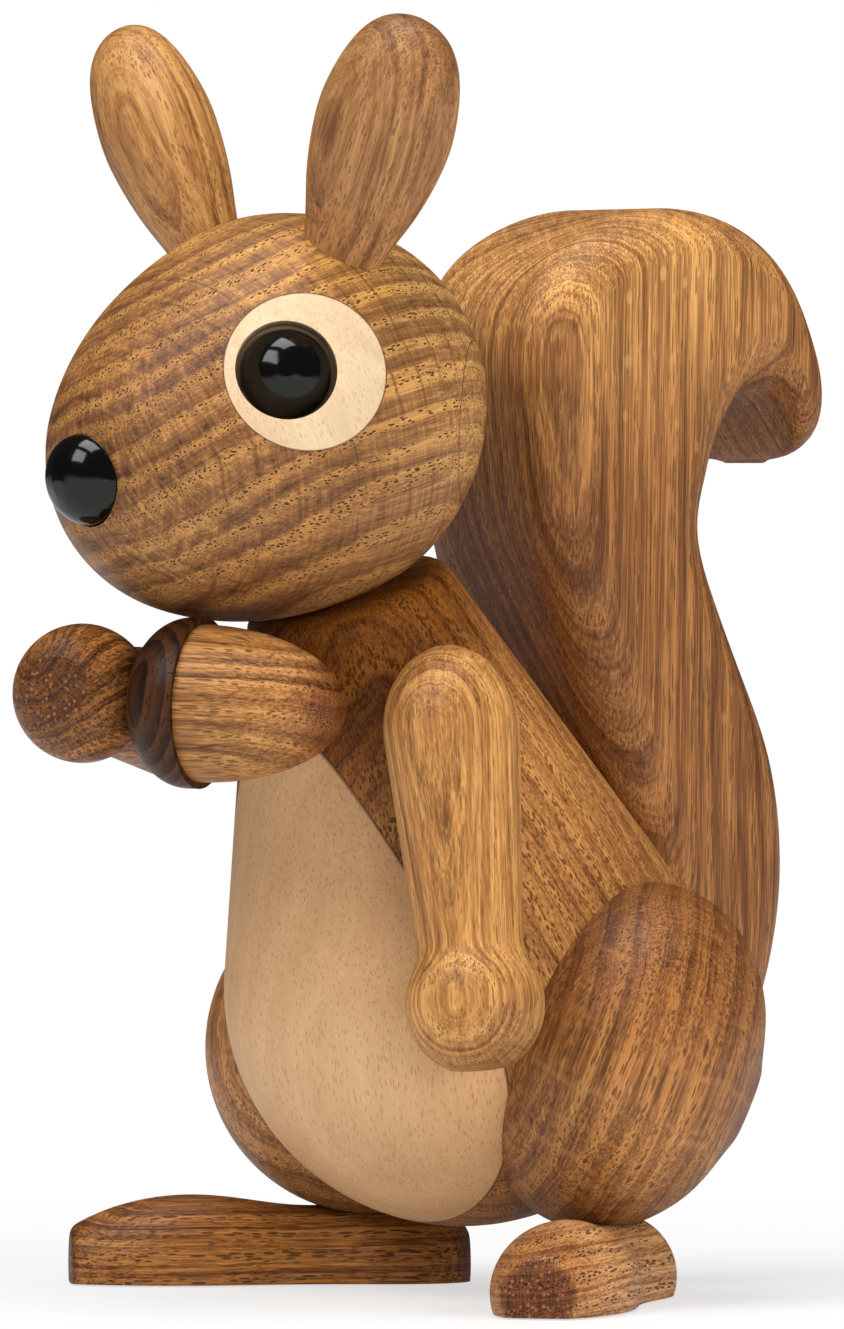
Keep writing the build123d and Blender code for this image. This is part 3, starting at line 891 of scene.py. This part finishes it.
@dataclass
class Torso:
    """Body, belly slab, thighs, feet and tail."""

    seam_origin: Point = (0.0, -8.48, 35.1)
    foot_splay: float = math.radians(36.0)
    belly_slant: float = 0.20
    toe: Point = (46.0, -20.0, 5.0)
    # Painted shadow that the head casts on the body's top.
    below_head: LightAndStainPatch = LightAndStainPatch((8.0, -24.0, 93.0), 17.0, 15.0, (0.55, 0.41, 0.17))
    # Painted light: floor bounce on the low belly, and light on the belly's top.
    belly_low: LightAndStainPatch = LightAndStainPatch((8.0, -36.0, 20.0), 12.0, 24.0, (1.04, 1.12, 1.22))
    belly_top: LightAndStainPatch = LightAndStainPatch((0.0, -46.0, 72.0), 8.0, 18.0, (1.12, 1.14, 1.16))
    # Painted light on the tail's upper front, where the top light falls.
    tail_curl: LightAndStainPatch = LightAndStainPatch((0.0, 26.0, 146.0), 12.0, 30.0, (1.85, 2.22, 2.30))

    def dress(self) -> None:
        """Dresses the torso's pieces."""
        seam = Seam(self.seam_origin, BODY_FRONT)
        dress("body_core", OakFinish(
            "oak_body", grain=BODY_UP, heart=(38.0, -40.0, 70.0),
            tones=Tones((0.56, 0.25, 0.068), (0.365, 0.148, 0.038), (0.12, 0.039, 0.009)),
            pore_length=3.6, pore_share=0.8, pore_size=0.17, crack_share=0.5,
            seams=(seam,), light_and_stain_patches=(self.below_head,)))
        dress("belly_insert", MapleFinish(
            "maple_belly", grain=(self.belly_slant, *BODY_UP[1:]), heart=(60.0, -90.0, 40.0),
            seams=(seam,), light_and_stain_patches=(self.belly_low, self.belly_top)))
        dress("tail", OakFinish(
            "oak_tail", grain=(0.0, 0.02, 1.0), heart=(-150.0, 150.0, 0.0),
            tones=Tones((0.435, 0.184, 0.053), (0.232, 0.088, 0.025), (0.105, 0.034, 0.009)),
            ring=2.2, wander=0.8, pore_width=0.34, pore_length=6.0, pore_share=0.6, ring_share=0.14,
            line_share=1.9, streak_share=0.6, light_and_stain_patches=(self.tail_curl,)))
        for side in Side:
            dress(f"thigh_{side.word}", self.thigh(side))
            dress(f"foot_{side.word}", self.foot(side))
            dress(f"thigh_dowel_{side.word}", ROD_ACROSS)
            dress(f"foot_dowel_{side.word}", ROD_UPRIGHT)
            dress(f"shoulder_pin_{side.word}", ROD_ACROSS)
            dress(f"shoulder_washer_{side.word}", FibreFinish())
        dress("neck_ring", ROD_UPRIGHT)
        for node in ("belly_dowel", "tail_dowel_lower", "tail_dowel_upper"):
            dress(node, ROD_LEVEL)

    def thigh(self, side: Side) -> OakFinish:
        """Chooses the finish of one thigh, with painted light low on it, where light bounced off the floor
        falls.

        Args:
            side: the thigh's side.

        Returns:
            The finish.
        """
        # Painted light low on the thigh, for light bounced off the floor.
        low = LightAndStainPatch(side.of((44.0, -4.0, 12.0)), 14.0, 18.0, (1.32, 1.48, 1.62))
        return OakFinish(
            f"oak_thigh_{side.word}", grain=side.of((-0.25, -0.25, -0.935)),
            heart=side.of((71.0, 68.0, 33.0)), tones=THIGH_TONES[side],
            pore_width=0.42, pore_size=0.13, pore_share=0.7, ray_share=0.4,
            ring_share=0.22, line_share=1.9, crack_share=0.9, cross_share=0.4, arc=9.0, arc_share=0.3,
            arc_colour=(0.50, 0.23, 0.070), light_and_stain_patches=(low,))

    def foot(self, side: Side) -> OakFinish:
        """Chooses the finish of one foot, whose grain runs to the toe.

        Args:
            side: the foot's side.

        Returns:
            The finish.
        """
        grain = side.of((math.sin(self.foot_splay), -math.cos(self.foot_splay), 0.0))
        return OakFinish(
            f"oak_foot_{side.word}", grain=grain, heart=side.of((30.0, 0.0, 64.0)), tones=FOOT_TONES[side],
            ring=3.0, wander=1.4, pore_share=0.9, pore_size=0.17, ring_share=0.16, line_share=2.4,
            comb_share=1.6, end_share=1.0, dot_share=0.45,
            light_and_stain_patches=(LightAndStainPatch(side.of(self.toe), 5.0, 8.0, TOE_TINTS[side]),))


@dataclass
class Head:
    """Head, ears, eyes and nose."""

    grain: Point = (0.0, -0.97, -0.24)
    eye_middle: Point = (22.47, -38.72, 126.0)
    eye_axis: Point = (0.768, -0.628, 0.130)
    eye_radius: float = 10.9
    eye_seam: float = 0.16
    # Painted light behind the eye and on the brow; painted shade on the muzzle and the jaw.
    behind_eye: LightAndStainPatch = LightAndStainPatch((26.0, -2.0, 132.0), 14.0, 20.0, (1.14, 1.22, 1.28))
    muzzle: LightAndStainPatch = LightAndStainPatch((-4.0, -54.0, 126.0), 12.0, 16.0, (0.90, 0.85, 0.76))
    brow: LightAndStainPatch = LightAndStainPatch((10.0, -30.0, 150.0), 14.0, 12.0, (1.22, 1.25, 1.08))
    jaw: LightAndStainPatch = LightAndStainPatch((24.0, -34.0, 98.0), 14.0, 14.0, (0.88, 0.86, 0.86))

    def dress(self) -> None:
        """Dresses the head's pieces."""
        # Painted shade round each eye disc's rim, as in the gap.
        rims = {side: Seam(side.of(self.eye_middle), side.of(self.eye_axis), self.eye_radius, self.eye_seam)
                for side in Side}
        dress("head", OakFinish(
            "oak_head", grain=self.grain, heart=(-24.0, 10.0, 205.0),
            tones=Tones((0.57, 0.276, 0.077), (0.268, 0.114, 0.035), (0.085, 0.029, 0.009)),
            ray=(0.15, 0.055, 0.018), ring=3.7, wander=1.8, early=0.36, pore_width=0.42, pore_length=1.3,
            pore_share=1.0, pore_size=0.09, halo_share=0.95, cross_share=0.8, ring_share=0.17,
            line_share=0.9, fibre_share=0.6, end_share=0.2, arc=4.2, arc_share=0.8,
            seams=tuple(rims.values()), light_and_stain_patches=(self.behind_eye, self.muzzle, self.brow, self.jaw)))
        dress("neck_dowel", ROD_UPRIGHT)
        dress("nose_button", GlossFinish())
        for side in Side:
            dress(f"ear_{side.word}", OakFinish(
                f"oak_ear_{side.word}", grain=side.of((0.50, -0.07, 0.86)),
                heart=side.of((10.0, -70.0, 150.0)), tones=EAR_TONES[side], ring=3.6, pore_share=0.45,
                ring_share=0.2, fibre_share=0.8, streak_share=1.2, end_share=0.5))
            dress(f"ear_dowel_{side.word}", ROD_UPRIGHT)
            dress(f"eye_disc_{side.word}", MapleFinish(
                f"maple_eye_{side.word}", grain=(0.0, -0.5, 0.87), heart=side.of((10.0, -37.2, 160.0)),
                pale=(0.77, 0.575, 0.365), warm=(0.56, 0.385, 0.225), fleck=(0.54, 0.33, 0.17),
                seams=(rims[side],)))
            dress(f"eye_bead_{side.word}", GlossFinish())


@dataclass
class Arms:
    """Both arms, the magnet in the right palm and the acorn."""

    acorn_axis: Point = (0.885, 0.465, -0.031)
    left_hand: LightAndStainPatch = LightAndStainPatch((44.0, -14.0, 36.0), 6.0, 8.0, (0.78, 0.76, 0.80))
    nut_tip: LightAndStainPatch = LightAndStainPatch((23.0, -31.5, 79.0), 5.0, 9.0, (0.62, 0.48, 0.40))

    def dress(self) -> None:
        """Dresses the arms and the acorn."""
        dress("arm_left", OakFinish(
            "oak_arm_left", grain=(0.18, -0.05, -0.98), heart=(70.0, -75.0, 60.0),
            tones=Tones((0.66, 0.335, 0.098), (0.42, 0.184, 0.048), (0.16, 0.056, 0.013)),
            ring=3.0, wander=1.2, early=0.22, pore_width=0.36, pore_length=5.0, pore_share=0.5,
            ring_share=0.14, line_share=1.9, fibre_share=0.8, streak_share=1.2, light_and_stain_patches=(self.left_hand,)))
        dress("arm_right", OakFinish(
            "oak_arm_right", grain=(0.30, -0.95, 0.05), heart=(-22.0, -20.0, 87.0),
            tones=Tones((0.46, 0.190, 0.044), (0.22, 0.078, 0.015), (0.050, 0.014, 0.003)),
            ring=2.2, end_share=1.0, pore_size=0.2, pore_width=0.55, comb_share=1.6, line_share=2.0,
            dot_share=0.5))
        dress("acorn_cap", DarkWoodFinish("dark_cap", grain=(0.2, 0.1, 1.0), heart=(0.0, -70.0, 80.0)))
        dress("acorn_nut", OakFinish(
            "oak_nut", grain=self.acorn_axis, heart=(0.0, -45.0, 122.0),
            tones=Tones((0.60, 0.285, 0.082), (0.35, 0.145, 0.037), (0.10, 0.031, 0.007)),
            ring=3.0, pore_length=6.0, end_share=0.8, crack_share=0.7, light_and_stain_patches=(self.nut_tip,)))
        for node in ("hand_magnet", "acorn_magnet"):
            dress(node, MetalFinish())


@dataclass(frozen=True)
class Lamp:
    """A soft lamp, hung to the camera's right, towards it and up from the object's foot, in metres."""

    name: str
    right: float
    near: float
    up: float
    wide: float
    tall: float
    power: float
    aim_height: float = 0.085
    mirrored: bool = True


@dataclass
class Studio:
    """Floor, lamps and camera. Lengths are in metres and picture places in the photograph's pixels."""

    azimuth: float = math.radians(49.0)
    distance: float = 1.700
    height: float = 0.112
    behind: float = 0.00937
    picture: tuple[int, int] = (844, 1329)
    pixels_per_metre: float = 7290.0
    ground_pixel: tuple[float, float] = (467.0, 1291.0)
    sensor: float = 36.0
    far_clip: float = 20.0
    floor_size: float = 6.0
    floor_gap: float = 0.0002
    floor_glow: float = 0.1
    floor_glow_seen: float = 0.52
    floor_glow_away: float = 0.38
    world_light: float = 0.25
    world_seen: float = 0.75
    world_unmirrored: float = 0.21
    lamps: tuple[Lamp, ...] = (
        Lamp("key", right=-0.70, near=0.60, up=0.95, wide=0.6, tall=0.6, power=7.6),
        Lamp("fill", right=0.95, near=0.75, up=0.65, wide=0.6, tall=0.6, power=8.4, mirrored=False),
        Lamp("top", right=-0.10, near=0.10, up=1.20, wide=0.7, tall=0.6, power=8.5),
        Lamp("low", right=0.45, near=1.10, up=0.20, wide=0.8, tall=0.3, power=3.2, aim_height=0.03,
             mirrored=False))

    MOTTLE: ClassVar[Layer] = Layer(60.0, 60.0)
    WHITE: ClassVar[Colour] = (1.0, 1.0, 1.0)
    FLOOR_DARK: ClassVar[Colour] = (0.80, 0.80, 0.80)
    FLOOR_PALE: ClassVar[Colour] = (0.82, 0.82, 0.82)

    def floor(self) -> None:
        """Makes the pale floor that takes the shadow and fades to white away from the object."""
        bpy.ops.mesh.primitive_plane_add(size=self.floor_size, location=(0, 0, -self.floor_gap))
        floor = bpy.context.object
        floor.name = "floor"
        graph = Graph("pale_floor")
        seen = graph.link("ShaderNodeLightPath", {}, {}, "Is Camera Ray")
        point = graph.place(ORIGIN, UPRIGHT)
        x, y, _ = graph.split(point)
        away = ((x * x + y * y) ** 0.5).rise(70, 260)
        mottle = (self.MOTTLE.on(graph, point) + 0.5).clamp()
        colour = graph.ramp(mottle, ((0.0, self.FLOOR_DARK), (1.0, self.FLOOR_PALE)))
        shader = graph.link("ShaderNodeBsdfPrincipled", {}, {"Base Color": colour, "Roughness": 0.9})
        glow = graph.link("ShaderNodeEmission", {}, {"Color": self.WHITE, "Strength": 1.0})
        share = self.floor_glow + seen * (self.floor_glow_seen + away * self.floor_glow_away)
        mixed = graph.link("ShaderNodeMixShader", {}, {0: share, 1: shader, 2: glow})
        graph.tree.links.new(mixed.socket, graph.output.inputs["Surface"])
        floor.data.materials.append(graph.material)

    def world(self) -> None:
        """Makes the surroundings: white to the camera, a soft grey light, and nearly dark in the beads."""
        graph = Graph("studio", world=True)
        bpy.context.scene.world = graph.material
        path = graph.make("ShaderNodeLightPath", {}, {})
        seen = Link(graph, path.outputs["Is Camera Ray"])
        mirrored = Link(graph, path.outputs["Is Glossy Ray"])
        background = graph.link("ShaderNodeBackground", {}, {
            "Color": self.WHITE,
            "Strength": self.world_light + seen * self.world_seen - mirrored * self.world_unmirrored})
        graph.tree.links.new(background.socket, graph.output.inputs["Surface"])

    def hang(self, lamp: Lamp) -> None:
        """Adds one lamp.

        Args:
            lamp: the lamp's place, size and power.
        """
        cos, sin = math.cos(self.azimuth), math.sin(self.azimuth)
        place = Vector((lamp.right * cos + lamp.near * sin, lamp.right * sin - lamp.near * cos, lamp.up))
        data = bpy.data.lights.new(lamp.name, "AREA")
        data.shape = "RECTANGLE"
        data.size, data.size_y = lamp.wide, lamp.tall
        data.energy = lamp.power
        hung = bpy.data.objects.new(lamp.name, data)
        bpy.context.scene.collection.objects.link(hung)
        hung.location = place
        hung.visible_glossy = lamp.mirrored
        beam = Vector((0.0, 0.0, lamp.aim_height)) - place
        hung.rotation_euler = beam.to_track_quat("-Z", "Y").to_euler()

    def camera(self) -> None:
        """Puts the camera where the photograph was taken from."""
        data = bpy.data.cameras.new("camera")
        camera = bpy.data.objects.new("camera", data)
        bpy.context.scene.collection.objects.link(camera)
        cos, sin = math.cos(self.azimuth), math.sin(self.azimuth)
        right = Vector((cos, sin, 0.0))
        forward = Vector((-sin, cos, 0.0))
        eye = -forward * self.distance + Vector((0.0, self.behind, self.height))
        wide, tall = self.picture
        across = (wide / 2 - self.ground_pixel[0]) / self.pixels_per_metre
        horizon = self.ground_pixel[1] - self.height * self.pixels_per_metre
        drop = -(tall / 2 - horizon) / self.pixels_per_metre
        target = eye + forward * self.distance + right * across + Vector((0.0, 0.0, drop))
        camera.location = eye
        camera.rotation_euler = (target - eye).to_track_quat("-Z", "Y").to_euler()
        data.sensor_fit = "VERTICAL"
        data.sensor_height = self.sensor
        data.lens = self.sensor * self.pixels_per_metre * self.distance / tall
        data.clip_end = self.far_clip
        bpy.context.scene.camera = camera

    def build(self) -> None:
        """Builds the whole studio."""
        self.floor()
        self.world()
        for lamp in self.lamps:
            self.hang(lamp)
        self.camera()
        bpy.context.scene.view_settings.view_transform = "Standard"


def main() -> None:
    """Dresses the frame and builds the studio."""
    for part in (Torso(), Head(), Arms()):
        part.dress()
        LOG.info("%s done", type(part).__name__)
    Studio().build()


if __name__ == "__main__":
    main()
